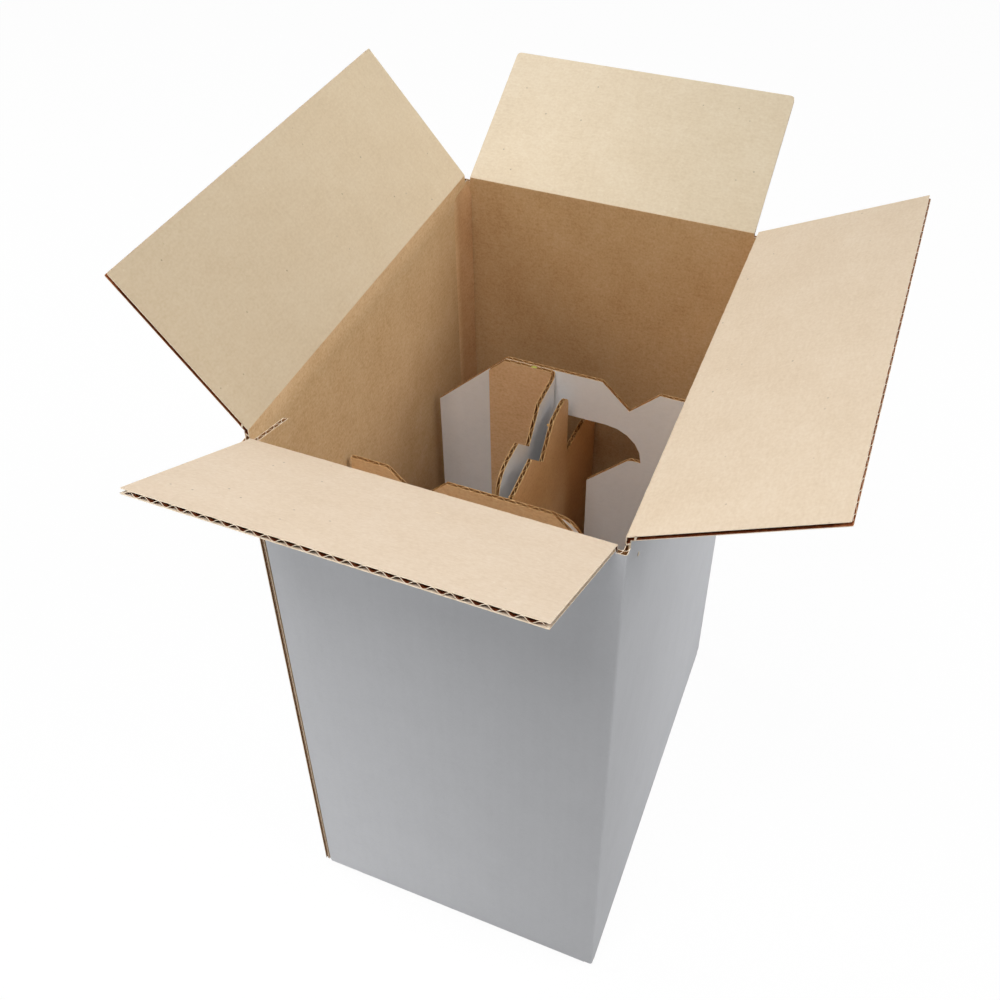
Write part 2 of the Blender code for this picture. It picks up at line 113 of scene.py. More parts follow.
# Materials
class Value:
    """A node's output that takes part in sums written as Python expressions."""

    def __init__(self, finish, socket):
        self.finish = finish
        self.socket = socket

    def __add__(self, other):
        return self.finish.maths("ADD", self, other)

    def __sub__(self, other):
        return self.finish.maths("SUBTRACT", self, other)

    def __rsub__(self, other):
        return self.finish.maths("SUBTRACT", other, self)

    def __mul__(self, other):
        return self.finish.maths("MULTIPLY", self, other)

    __radd__ = __add__
    __rmul__ = __mul__


PAPER_SHEEN = 0.25
RELIEF = 0.16 * MM


class Finish:
    """The nodes of a material or of the surround, which end in its shader."""

    def __init__(self, owner, shader="Principled BSDF"):
        owner.use_nodes = True
        self.owner = owner
        self.tree = owner.node_tree
        self.shader = self.tree.nodes[shader]
        self.inputs = self.shader.inputs

    def node(self, kind, settings=None, sockets=None, output=0):
        made = self.tree.nodes.new(kind)
        for key, value in (settings or {}).items():
            if key == "stops":
                ramp = made.color_ramp
                while len(ramp.elements) < len(value):
                    ramp.elements.new(0.5)
                for element, (place, shade) in zip(ramp.elements, value):
                    element.position = place
                    element.color = (*shade, 1)
            else:
                setattr(made, key, value)
        for key, value in (sockets or {}).items():
            self.put(made.inputs[key], value)
        return Value(self, made.outputs[output])

    def put(self, socket, value):
        if isinstance(value, Value):
            self.tree.links.new(value.socket, socket)
        elif hasattr(value, "__len__") and socket.type == "RGBA" and len(value) == 3:
            socket.default_value = (*value, 1)
        else:
            socket.default_value = value

    def maths(self, operation, *values):
        settings = {"operation": operation}
        return self.node("ShaderNodeMath", settings, dict(enumerate(values)))

    def mix(self, factor, one, other, blend="MIX"):
        settings = {"data_type": "RGBA", "blend_type": blend}
        return self.node("ShaderNodeMix", settings, {0: factor, 6: one, 7: other}, 2)

    def noise(self, place, scale, detail=3, roughness=0.55):
        sockets = {"Vector": place, "Scale": scale, "Detail": detail, "Roughness": roughness}
        return self.node("ShaderNodeTexNoise", None, sockets)

    def ramp(self, value, stops):
        return self.node("ShaderNodeValToRGB", {"stops": stops}, {"Fac": value})

    def step(self, value, low, high):
        """0 below low and 1 above high, softly in between."""
        settings = {"interpolation_type": "SMOOTHSTEP"}
        sockets = {"Value": value, "From Min": low, "From Max": high}
        return self.node("ShaderNodeMapRange", settings, sockets)

    def place(self):
        """Where a point lies on the piece, in metres."""
        return self.node("ShaderNodeTexCoord", output=3)

    def along(self, vector, direction):
        settings = {"operation": "DOT_PRODUCT"}
        return self.node("ShaderNodeVectorMath", settings, {0: vector, 1: direction}, 1)

    def join(self, x, y, z):
        return self.node("ShaderNodeCombineXYZ", None, {"X": x, "Y": y, "Z": z})

    def complete(self, colour, roughness, height):
        self.put(self.inputs["Base Color"], colour)
        self.put(self.inputs["Roughness"], roughness)
        self.put(self.inputs["Specular IOR Level"], PAPER_SHEEN)
        sockets = {"Height": height, "Distance": RELIEF, "Strength": 1.0}
        self.put(self.inputs["Normal"], self.node("ShaderNodeBump", None, sockets))
        return self.owner


def linear(shade):
    """Linear colour of an everyday 0 to 255 colour that isn't near black."""
    return tuple(((c / 255 + 0.055) / 1.055) ** 2.4 for c in shade)


def paper(name, across, along, tones, flutes=0.0, mottle=0.5, fibres=0.3, wrinkled=0, flecked=0, painted_light_and_shade=()):
    """One paper: colour clouds, fibres, wrinkles and flecks, and the flutes showing
    through. across and along are directions on the board; a fade is a direction, where
    a change of tone starts and ends along it, and its two tints."""
    main, dark, light = tones
    finish = Finish(bpy.data.materials.new(name))
    place = finish.place()
    u = finish.along(place, across)
    v = finish.along(place, along)
    depth = finish.along(place, Vector(across).cross(Vector(along)))
    spot = finish.join(u, v, depth)
    clouds = finish.noise(spot, 38, 4, 0.6)
    small = finish.noise(spot, 260, 3, 0.6)
    threads = finish.noise(finish.join(u * 90, v * 900, depth * 90), 1, 3, 0.6)
    specks = finish.noise(finish.join(u * 620, v * 680, depth * 650), 1, 2, 0.5)
    ridges = finish.maths("SINE", u * (2 * math.pi / FLUTE_PITCH) + clouds * 0.6)
    wrinkles = finish.noise(finish.join(u * 240, v * 620, depth * 300), 1, 4, 0.65)
    amount = 0.5 + (clouds - 0.5) * mottle + (small - 0.5) * mottle * 0.6 + (threads - 0.5) * fibres
    amount = amount + ridges * flutes + (specks - 0.5) * fibres * 2.6 + (wrinkles - 0.5) * wrinkled
    colour = finish.ramp(amount, [(0.15, dark), (0.5, main), (0.85, light)])
    if flecked:
        bits = finish.node("ShaderNodeTexVoronoi", None, {"Vector": spot, "Scale": 120})
        chance = finish.along(Value(finish, bits.socket.node.outputs[1]), X)
        bit = (1 - finish.step(bits, 0.02, 0.085)) * flecked
        pale = finish.step(chance, 0.5, 0.52)
        colour = finish.mix(bit * (1 - pale), colour, tuple(c * 0.55 for c in dark))
        colour = finish.mix(bit * pale, colour, light)
    # painted light and shade: each change of tone multiplies the paper's colour
    for direction, start, end, first, last in painted_light_and_shade:
        share = finish.step(finish.along(place, direction), start, end)
        colour = finish.mix(1.0, colour, finish.mix(share, first, last), "MULTIPLY")
    rough = 0.78 + (small - 0.5) * 0.2
    height = ridges * 0.06 + clouds * 0.5 + small * 0.2 + threads * 0.12
    return finish.complete(colour, rough, height)


def tones(*shades):
    """Main, dark and light tone of a paper."""
    return [linear(shade) for shade in shades]


WHITE_TONES = tones((206, 207, 210), (195, 196, 199), (214, 215, 218))
KRAFT_TONES = tones((226, 207, 182), (212, 190, 162), (237, 222, 201))
# painted shade: the walls' inner kraft is the same liner as the flaps' inner kraft, written darker and
# redder inside the carton
INSIDE_SHADED_TONES = tones((219, 188, 144), (200, 163, 117), (230, 204, 166))
# painted shade: fluted paper written very dark for the shade inside its flutes
FLUTE_SHADE_TONES = tones((120, 58, 24), (84, 32, 12), (146, 82, 40))

# painted light and shade: the same kraft made darker on the left flap and a little lighter on the front
# flap, by how light falls on each
FLAP_PAINTED_LIGHT_LEVEL = {
    "left": (0.92, 0.91, 0.855),
    "right": (1, 1, 1),
    "front": (1.015, 1.015, 1.04),
    "back": (0.975, 1, 0.985),
}

# painted light and shade, as soft changes of tone: direction, start and end along it, tints at the two
# ends
PLAIN = (1, 1, 1)
# painted light and shade on the walls' white liner: darker towards the front right and the top, lighter
# towards the back left and the bottom
WHITE_PAINTED_LIGHT_AND_SHADE = ((-1, 1, -0.2), -302 * MM, 37 * MM, (0.86, 0.86, 0.86), (1.21, 1.21, 1.21))
# painted light and shade: the left flap darker towards the front, the back flap darker towards the right
FLAP_PAINTED_LIGHT_AND_SHADE = {
    "left": [(Y, -HALF_Y, HALF_Y, (0.85, 0.85, 0.84), (1.08, 1.09, 1.08))],
    "back": [(X, -HALF_X, HALF_X, (1.1, 1.1, 1.1), (0.9, 0.9, 0.88))],
}
# painted shade and light on the walls' inner kraft: darker towards the back, darker still on the back
# wall, lighter at the top of the left wall under its crease, darker towards the low back left corner
INSIDE_PAINTED_LIGHT_AND_SHADE = (
    (Y, 65 * MM, 112 * MM, PLAIN, (0.91, 0.88, 0.84)),
    (Y, HALF_Y - 2 * BOARD, HALF_Y - 1.2 * BOARD, PLAIN, (0.945, 0.9, 0.86)),
    ((-1, 0, 1), 466 * MM, 479 * MM, PLAIN, (1.17, 1.19, 1.24)),
    ((-1, 1, -1), -200 * MM, -110 * MM, PLAIN, (0.84, 0.82, 0.8)),
)
# painted light: the insert's kraft lighter towards the front
INSERT_PAINTED_LIGHT = (Y, 20 * MM, 55 * MM, (1.15, 1.2, 1.2), PLAIN)
# painted shade: the corner webs' kraft darker into the back corners
CORNER_PAINTED_SHADE = ((Y, 107 * MM, 115 * MM, (0.92, 0.88, 0.84), (0.76, 0.63, 0.55)),)


def flap_axes(side):
    """A flap's hinge direction, its direction away from the hinge and the
    direction towards its inner face."""
    inward, _, _, _, opening = WALLS[side]
    angle = math.radians(opening)
    away = -inward * math.cos(angle) + UP * math.sin(angle)
    inner = inward * math.sin(angle) + UP * math.cos(angle)
    return away.cross(inner), away, inner


def flap_kraft(side):
    """The kraft liner on a flap's inner face."""
    hinge, away, _ = flap_axes(side)
    # the flap's kraft with its painted light and shade
    painted_light_tones = [tuple(c * t for c, t in zip(tone, FLAP_PAINTED_LIGHT_LEVEL[side])) for tone in KRAFT_TONES]
    return paper(
        side + "_flap_kraft", hinge, away, painted_light_tones, flutes=0.008, mottle=0.3, fibres=0.17,
        wrinkled=0.3 if side == "back" else 0.1, flecked=0.8, painted_light_and_shade=FLAP_PAINTED_LIGHT_AND_SHADE.get(side, ()),
    )


def side_flap_core(side):
    """The paper inside a long flap, painted dark as the shade in its flutes, with the painted shade
    lifting towards the flap's cut free edge.
    """
    hinge, away, _ = flap_axes(side)
    inward, place, crease, _, _ = WALLS[side]
    edge = (UP * crease - inward * place).dot(away) + FLAP_LENGTH
    # painted shade lifting: the core several times lighter near the flap's free edge
    lit_edge = (away, edge - 9 * MM, edge - 4 * MM, PLAIN, (2.2, 3.2, 5.0))
    return paper(side + "_flap_core", hinge, away, FLUTE_SHADE_TONES, fibres=0.35, painted_light_and_shade=[lit_edge])


# the walls' white liner carries painted light and shade; the flaps' white liner is plain
WHITE = paper("white_liner", AROUND, Z, WHITE_TONES, 0.012, 0.3, 0.08, painted_light_and_shade=[WHITE_PAINTED_LIGHT_AND_SHADE])
FLAP_WHITE = paper("flap_white_liner", AROUND, Z, WHITE_TONES, 0.012, 0.3, 0.08)
FLAP_KRAFT = {side: flap_kraft(side) for side in WALLS}
# the walls' inner kraft, with painted shade and light
INSIDE = paper(
    "inside_kraft_painted_light_and_shade", AROUND, Z, INSIDE_SHADED_TONES, 0.008, wrinkled=0.5, flecked=0.5, painted_light_and_shade=INSIDE_PAINTED_LIGHT_AND_SHADE,
)
FLUTED = paper(
    "fluted_paper", AROUND, Z, tones((176, 126, 78), (140, 94, 52), (200, 154, 104)), fibres=0.35,
)
# fluted paper painted dark as the shade in its flutes
FLUTE_SHADE = paper("fluted_paper_painted_shade", AROUND, Z, FLUTE_SHADE_TONES, fibres=0.35)
CUT = paper(
    "cut_paper_edge", AROUND, Z, tones((246, 228, 202), (226, 202, 170), (252, 240, 222)),
    mottle=0.6, fibres=0.35,
)
# the corner webs' kraft, with painted shade into the back corners
CREASED = paper("corner_kraft_painted_shade", AROUND, Z, INSIDE_SHADED_TONES, wrinkled=0.5, painted_light_and_shade=CORNER_PAINTED_SHADE)
# the fluted paper inside the flaps, painted dark as shade
FLAP_CORE = {
    "front": FLUTE_SHADE, "back": FLUTE_SHADE, "left": side_flap_core("left"), "right": side_flap_core("right"),
}
INSERT_WHITE = paper(
    "insert_white_liner", X, Z, tones((240, 240, 241), (228, 228, 229), (247, 247, 248)),
    0.015, 0.35, 0.1,
)
# the insert's kraft, with painted light towards the front
INSERT_KRAFT = paper(
    "insert_kraft_liner", X, Z, tones((229, 190, 146), (208, 166, 120), (238, 206, 166)),
    0.01, 0.35, 0.3, wrinkled=0.3, painted_light_and_shade=[INSERT_PAINTED_LIGHT],
)
INSERT_CUT = paper(
    "insert_cut_edge", X, Z, tones((212, 172, 118), (180, 138, 88), (230, 196, 148)),
    mottle=0.6, fibres=0.35,
)
GLUE = paper("dried_glue", X, Z, tones((186, 190, 92), (150, 140, 66), (212, 214, 130)), fibres=0.1)


# Boards
def solid_of(node):
    """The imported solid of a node, with the corners that its import split joined."""
    mesh = bmesh.new()
    mesh.from_mesh(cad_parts[node].data)
    bmesh.ops.remove_doubles(mesh, verts=mesh.verts, dist=MM / 500)
    mesh.normal_update()
    mesh.faces.ensure_lookup_table()
    return mesh


def keep(name, mesh, materials, body, nodes):
    """A piece from a mesh, which moves with a body and stands for CAD nodes."""
    data = bpy.data.meshes.new(name)
    mesh.to_mesh(data)
    mesh.free()
    piece = bpy.data.objects.new(name, data)
    bpy.context.scene.collection.objects.link(piece)
    for material in materials:
        data.materials.append(material)
    if nodes:
        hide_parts(*nodes)
    if body:
        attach(piece, body)
    return piece


def settle(piece):
    """Apply a piece's modifiers."""
    graph = bpy.context.evaluated_depsgraph_get()
    data = bpy.data.meshes.new_from_object(piece.evaluated_get(graph))
    piece.modifiers.clear()
    piece.data = data
    data.set_sharp_from_angle(angle=SHARP_ANGLE)
    return piece


def thicken(piece, thickness, offset, back, rim):
    """Make a sheet of paper from an open surface; its far side and its rim take
    the piece's materials that many places on."""
    paper_solid = piece.modifiers.new("paper", "SOLIDIFY")
    paper_solid.thickness = thickness
    paper_solid.offset = offset
    paper_solid.use_even_offset = True
    paper_solid.material_offset = back
    paper_solid.material_offset_rim = rim
    return settle(piece)


def smooth_side(solid, tree, seed):
    """Faces that lie around a seed point without a sharp edge between them."""
    first = solid.faces[tree.find_nearest(seed)[2]]
    side, front = {first}, [first]
    while front:
        face = front.pop()
        for edge in face.edges:
            if len(edge.link_faces) == 2 and edge.calc_face_angle() < FLOOD_ANGLE:
                for other in edge.link_faces:
                    if other not in side:
                        side.add(other)
                        front.append(other)
    return side


def crisp(point):
    """A point of the carton's outer paper, moved out where a wall's fold is rounder
    than a scored fold."""
    for x, y in ((HALF_X, HALF_Y), (-HALF_X, HALF_Y), (HALF_X, -HALF_Y), (TAB_X, -HALF_Y)):
        out_x, out_y = math.copysign(1, x), math.copysign(1, y)
        arm = Vector(point[:2]) - Vector((x - out_x * BEND, y - out_y * BEND))
        outside = arm.x * x >= 0 and arm.y * y >= 0
        if outside and abs(arm.length - BEND) < SKIN:
            centre = Vector((x, y)) - Vector((out_x * FOLD, out_y * FOLD))
            turned = centre + arm.normalized() * FOLD
            return Vector((turned.x, turned.y, point.z))
    return point


def same(point):
    """A point left where the part has it."""
    return point


def flush(point):
    """A point of the left divider: its glue flap is cut together with the rear
    panel, flush with that panel's top and chamfer."""
    if point.y < FLAP_FRONT or point.z < INSERT_UPPER:
        return point
    low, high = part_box("insert_rear_panel")
    chamfer = high.z - PANEL_CHAMFER + point.x - low.x
    return Vector((point.x, point.y, min(high.z, chamfer)))


def lowered(point):
    """A point of the right divider, whose shoulder is cut a little lower."""
    above = point.z - SHOULDER_LOW
    if point.y < SHOULDER_START or above < 0:
        return point
    return Vector((point.x, point.y, SHOULDER_LOW + above * SHOULDER_SHARE))


def liner(name, side, papers, body, node, reshape=same):
    """The paper on one side of a board. Its papers are the materials of its outer
    face, its glued face and its cut edge."""
    mesh = bmesh.new()
    twin = {}
    for face in sorted(side, key=lambda f: f.index):
        for vert in face.verts:
            if vert not in twin:
                twin[vert] = mesh.verts.new(reshape(vert.co))
        mesh.faces.new([twin[vert] for vert in face.verts])
    for face in mesh.faces:
        face.smooth = True
    bmesh.ops.dissolve_limit(mesh, angle_limit=FLAT_ANGLE, verts=mesh.verts, edges=mesh.edges)
    piece = keep(name, mesh, papers, body, [node])
    return thicken(piece, LINER, -1, 1, 2)


def spans(tree, foot, along, inward, low):
    """Stretches of a line along the flutes that lie inside the board, from low on."""
    found = None
    for depth in (SKIN, BOARD - SKIN):
        start = foot + inward * depth
        crossings, run = [], 0.0
        while True:
            hit = tree.ray_cast(start + along * run, along)[0]
            if hit is None:
                break
            run = (hit - start).dot(along) + SKIN / 20
            crossings.append(run)
        here = [(max(a, low), b) for a, b in zip(crossings[::2], crossings[1::2])]
        if found is None:
            found = here
        else:
            found = [(max(a, c), min(b, d)) for a, b in found for c, d in here]
        found = [(a, b) for a, b in found if b - a > SHORTEST]
    return found


def medium(name, tree, stations, along, low, body, node, reshape=same, core=FLUTED, rim=CUT):
    """The wavy paper between a board's liners. Each station is a point on the
    board's outer face, the direction into the board and the run so far."""
    mesh = bmesh.new()
    before = []
    for place, inward, run in stations:
        depth = BOARD / 2 + WAVE * math.sin(2 * math.pi * run / FLUTE_PITCH)
        rows = []
        for start, end in spans(tree, place, along, inward, low):
            base = place + inward * depth
            ends = mesh.verts.new(base + along * start), mesh.verts.new(base + along * end)
            rows.append((start, end, ends))
        for start, end, ends in rows:
            for old_start, old_end, old in before:
                if abs(start - old_start) < JOIN and abs(end - old_end) < JOIN:
                    mesh.faces.new((old[0], ends[0], ends[1], old[1]))
        before = rows
    bmesh.ops.delete(mesh, geom=[v for v in mesh.verts if not v.link_faces], context="VERTS")
    for vert in mesh.verts:
        vert.co = reshape(vert.co)
    for face in mesh.faces:
        face.smooth = True
    piece = keep(name, mesh, [core, rim], body, [node])
    return thicken(piece, MEDIUM, 0, 0, 1)


def rounded(corners):
    """Points of an open path whose (x, y, radius) corners are rounded."""
    points = []
    for index, (x, y, radius) in enumerate(corners):
        corner = Vector((x, y))
        if radius <= 0:
            points.append(corner)
            continue
        before = (Vector(corners[index - 1][:2]) - corner).normalized()
        after = (Vector(corners[index + 1][:2]) - corner).normalized()
        half = before.angle(after) / 2
        centre = corner + (before + after).normalized() * radius / math.sin(half)
        start = corner + before * radius / math.tan(half) - centre
        turn = start.angle_signed(corner + after * radius / math.tan(half) - centre)
        for step in range(ARC_STEPS + 1):
            points.append(centre + Matrix.Rotation(-turn * step / ARC_STEPS, 2) @ start)
    return points


def walk(corners, turn, spin=1, shift=Vector((0, 0, 0))):
    """Stations along a plan path, a tenth of a flute apart. turn is 1 where the
    board lies to the right of the path and -1 to the left; spin -1 is half a turn."""
    points = rounded(corners)
    runs = [0.0]
    for a, b in zip(points, points[1:]):
        runs.append(runs[-1] + (b - a).length)
    count = int(runs[-1] / FLUTE_PITCH * FLUTE_STEPS)
    stations = []
    for index in range(count + 1):
        run = SKIN + (runs[-1] - 2 * SKIN) * index / count
        leg = max(i for i in range(len(points) - 1) if runs[i] <= run)
        share = (run - runs[leg]) / (runs[leg + 1] - runs[leg])
        spot = points[leg].lerp(points[leg + 1], share)
        heading = (points[leg + 1] - points[leg]).normalized()
        inward = Vector((heading.y, -heading.x, 0)) * turn
        stations.append((Vector((spot.x, spot.y, 0)) * spin + shift, inward * spin, run))
    return stations


def straight(start, end, inward):
    """Stations along a straight edge of a flat board."""
    length = (end - start).length
    count = int(length / FLUTE_PITCH * FLUTE_STEPS)
    direction = (end - start).normalized()
    stations = []
    for index in range(count + 1):
        run = SKIN + (length - 2 * SKIN) * index / count
        stations.append((start + direction * run, inward, run))
    return stations


def carton():
    """Walls, glue tab and bottom flaps."""
    node = "outer_box"
    solid = solid_of(node)
    tree = BVHTree.FromBMesh(solid)
    white = smooth_side(solid, tree, Vector((HALF_X, 10 * MM, 0.2)))
    brown = smooth_side(solid, tree, Vector((HALF_X - BOARD, 10 * MM, 0.2)))
    liner("box_white_liner", white, [WHITE, FLUTED, CUT], "box", node, crisp)
    liner("box_kraft_liner", brown, [INSIDE, FLUTED, CUT], "box", node, crisp)
    plan = [
        (-HALF_X, -HALF_Y, 0), (-HALF_X, HALF_Y, BEND), (HALF_X, HALF_Y, BEND),
        (HALF_X, -HALF_Y, BEND), (TAB_X, -HALF_Y, BEND), (TAB_X, -HALF_Y + TAB_REACH, 0),
    ]
    stations = [(place - UP * RUN_UP, inward, run) for place, inward, run in walk(plan, 1)]
    medium("wall_flutes", tree, stations, UP, RUN_UP + WALL_FOOT, "box", node)
    for side, (inward, place, _, half, _) in WALLS.items():
        level = 0 if side in ("left", "right") else INNER_BOTTOM
        middle = -inward * (place + RUN_UP) + UP * level
        along = UP.cross(inward)
        path = straight(middle - along * half, middle + along * half, UP)
        low = RUN_UP + BEND
        medium(side + "_bottom_flutes", tree, path, inward, low, "box", node)
    solid.free()


def top_flap(side):
    """One top flap and the crushed crease that joins it to its wall."""
    node = "flap_" + side
    body = side + "_flap"
    inward, place, crease, half, _ = WALLS[side]
    hinge, away, inner = flap_axes(side)
    origin = -inward * place + UP * crease
    solid = solid_of(node)
    tree = BVHTree.FromBMesh(solid)
    middle = origin + away * FLAP_LENGTH / 2
    white = smooth_side(solid, tree, middle)
    brown = smooth_side(solid, tree, middle + inner * BOARD)
    # the fluted paper inside the flap is painted dark as shade
    core = FLAP_CORE[side]
    outside = [FLAP_WHITE, CUT if core == FLUTE_SHADE else core, CUT]
    liner(node + "_white_liner", white, outside, body, node)
    liner(node + "_kraft_liner", brown, [FLAP_KRAFT[side], core, CUT], body, node)
    start = origin - away * RUN_UP
    reach = half - OPEN_FLUTE
    path = straight(start - hinge * reach, start + hinge * reach, inner)
    medium(node + "_flutes", tree, path, away, RUN_UP, body, node, core=core)
    solid.free()
    crease_band(side, origin, hinge, away, inner, inward, half)


# Places of a crease's papers in its list of materials
OUTER, ON_FLAP, ON_WALL, RIDGE, HOLLOW = range(5)
HOLLOW_DEPTH = 1.6 * MM
LIP_SHARE = 0.3              # of the way from the crease's skin to its middle
RIPPLE = 0.12 * MM


def open_end(mesh, row, into):
    """The cut end of a crease: light paper edges around an open flute."""
    centre = sum((vert.co for vert in row), Vector()) / len(row)
    lip = [mesh.verts.new(vert.co.lerp(centre, LIP_SHARE)) for vert in row]
    deep = [mesh.verts.new(vert.co + into * HOLLOW_DEPTH) for vert in lip]
    # the open flute's hollow takes the fluted paper's painted shade
    for outer, inner, material in ((row, lip, RIDGE), (lip, deep, HOLLOW)):
        for index in range(len(row)):
            after = (index + 1) % len(row)
            face = mesh.faces.new((outer[index], outer[after], inner[after], inner[index]))
            face.material_index = material
    mesh.faces.new(deep).material_index = HOLLOW


def crease_band(side, origin, hinge, away, inner, inward, half):
    """The scored fold between a wall and its flap: white paper pressed in outside,
    and inside the kraft paper of both meeting in a narrow ridge."""
    sink, grip, ridge = 0.15 * MM, 1.2 * MM, 0.7 * MM
    pressed, fold = 1 * MM, 0.3 * MM
    outside = [
        inward * sink - UP * (pressed + grip),
        inward * sink - UP * pressed,
        inward * 2 * sink - UP * fold,
        away * fold + inner * 2 * sink,
        away * pressed + inner * sink,
        away * (pressed + grip) + inner * sink,
    ]
    half_turn = inner.angle(inward) / 2
    tip = (inner + inward).normalized() * BOARD / math.cos(half_turn)
    centre = tip - (inner + inward).normalized() * ridge / math.cos(half_turn)
    laid = [(BOARD + grip, -0.06 * MM), (BOARD + grip / 2, 0.01 * MM)]
    inside = [away * run + inner * (BOARD + lift) for run, lift in laid]
    for step in range(FOLD_STEPS + 1):
        share = step / FOLD_STEPS
        arm = inner * math.sin(2 * half_turn * (1 - share)) + inward * math.sin(2 * half_turn * share)
        inside.append(centre + arm.normalized() * ridge)
    inside += [inward * (BOARD + lift) - UP * run for run, lift in laid[::-1]]
    ring = outside + inside
    kraft_start, kraft_end = len(outside), len(ring) - 1
    middle = len(outside) + len(laid) + FOLD_STEPS // 2
    mesh = bmesh.new()
    count = int(half / MM)
    rows = []
    for index in range(count + 1):
        run = -half + 2 * half * index / count
        ripple = noise.noise(Vector((run * 190, len(side), 0))) * RIPPLE
        row = []
        for number, offset in enumerate(ring):
            place = origin + hinge * run + offset
            if abs(number - middle) <= FOLD_STEPS // 2:
                place += tip.normalized() * ripple
            row.append(mesh.verts.new(place))
        rows.append(row)
    for old, new in zip(rows, rows[1:]):
        for index in range(len(ring)):
            after = (index + 1) % len(ring)
            face = mesh.faces.new((old[index], old[after], new[after], new[index]))
            face.smooth = abs(index - middle) <= FOLD_STEPS // 2
            if index < kraft_start - 1:
                face.material_index = OUTER
            elif index < kraft_start or index in (middle, kraft_end):
                face.material_index = RIDGE
            else:
                face.material_index = ON_FLAP if index < middle else ON_WALL
    for row, step in ((rows[0], 1), (rows[-1], -1)):
        open_end(mesh, row, hinge * step)
    bmesh.ops.recalc_face_normals(mesh, faces=mesh.faces)
    # the hollow of each open end takes the fluted paper painted dark as shade
    materials = [WHITE, FLAP_KRAFT[side], INSIDE, CUT, FLUTE_SHADE]
    piece = keep(side + "_crease", mesh, materials, None, [])
    piece.data.set_sharp_from_angle(angle=SHARP_ANGLE)
    start = origin + inward * BOARD - UP * BOARD
    end = origin + away * BOARD + inner * BOARD
    side + "_flap"
    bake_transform(piece)


# Section of a corner's web in millimetres: run from the corner along the side wall
# and height above that wall
WEB = [
    (20.5, -0.1), (19.5, 0.12), (15, 0.55), (11, 0.95), (7.5, 1.35), (5, 1.9),
    (3.4, 2.35), (2.2, 2.55), (1.2, 2.7), (0.2, 3.1),
]
WEB_ROWS = 90
WEB_TAPER = 6 * MM           # the web runs out into the wall at its top
FRONT_WEB_DROP = 24 * MM     # the front corner's web ends lower


def corner_folds():
    """The scored folds inside the carton's upright corners: a shallow web of kraft
    paper from each side wall, with a narrow valley where it meets the end wall."""
    for name, x_sign, y_sign in (("left_back", -1, 1), ("right_back", 1, 1), ("right_front", 1, -1)):
        corner = Vector((x_sign * (HALF_X - BOARD), y_sign * (HALF_Y - BOARD), 0))
        into = Vector((-x_sign, 0, 0))
        out = Vector((0, -y_sign, 0))
        foot, top = WALL_FOOT + 0.3 * MM, END_CREASE - BOARD - 0.5 * MM
        if y_sign < 0:
            top -= FRONT_WEB_DROP
        mesh = bmesh.new()
        rows = []
        for index in range(WEB_ROWS + 1):
            height = foot + (top - foot) * index / WEB_ROWS
            row = []
            rise = min(1, (top - height) / WEB_TAPER)
            for run, lift in WEB:
                sway = noise.noise(Vector((height * 14, run * 0.2, x_sign + 2 * y_sign))) * 0.35
                lift = lift * (1 + sway * 0.5) + sway * 0.25 * (run > 1) * (run < 19)
                lift = lift * rise - 0.12 * (1 - rise)
                row.append(mesh.verts.new(corner + out * run * MM + into * lift * MM + UP * height))
            row.append(mesh.verts.new(corner - into * 0.2 * MM + UP * height))
            rows.append(row)
        for old, new in zip(rows, rows[1:]):
            for index in range(len(old)):
                after = (index + 1) % len(old)
                face = mesh.faces.new((old[index], old[after], new[after], new[index]))
                face.smooth = True
        mesh.faces.new(rows[0][::-1])
        mesh.faces.new(rows[-1])
        bmesh.ops.recalc_face_normals(mesh, faces=mesh.faces)
        # the web's kraft is painted darker into the back corners as shade
        piece = keep(name + "_corner_fold", mesh, [CREASED], "box", [])
        piece.data.set_sharp_from_angle(angle=SHARP_ANGLE)


def insert_liners(node, white, brown, reshape=same):
    """The two outer papers of one of the insert's boards."""
    outside, inside = [INSERT_WHITE, FLUTED, INSERT_CUT], [INSERT_KRAFT, FLUTED, INSERT_CUT]
    liner(node + "_white_liner", white, outside, "box", node, reshape)
    liner(node + "_kraft_liner", brown, inside, "box", node, reshape)


def insert_flutes(node, tree, stations, reshape=same):
    """The wavy paper of one of the insert's boards."""
    name = node + "_flutes"
    medium(name, tree, stations, UP, RUN_UP, "box", node, reshape, rim=INSERT_CUT)


def cross_panel(name, turned):
    """A cross panel of the insert; its white face looks forward or back."""
    node = "insert_%s_panel" % name
    low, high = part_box(node)
    solid = solid_of(node)
    tree = BVHTree.FromBMesh(solid)
    brown_y, white_y = (low.y, high.y) if turned else (high.y, low.y)
    plain_x = high.x - 12 * MM if turned else low.x + 12 * MM
    white = smooth_side(solid, tree, Vector((plain_x, white_y, 100 * MM)))
    brown = smooth_side(solid, tree, Vector((plain_x, brown_y, 100 * MM)))
    insert_liners(node, white, brown)
    foot = -UP * RUN_UP
    path = straight(Vector((low.x, low.y, 0)) + foot, Vector((high.x, low.y, 0)) + foot, Vector(Y))
    insert_flutes(node, tree, path)
    solid.free()


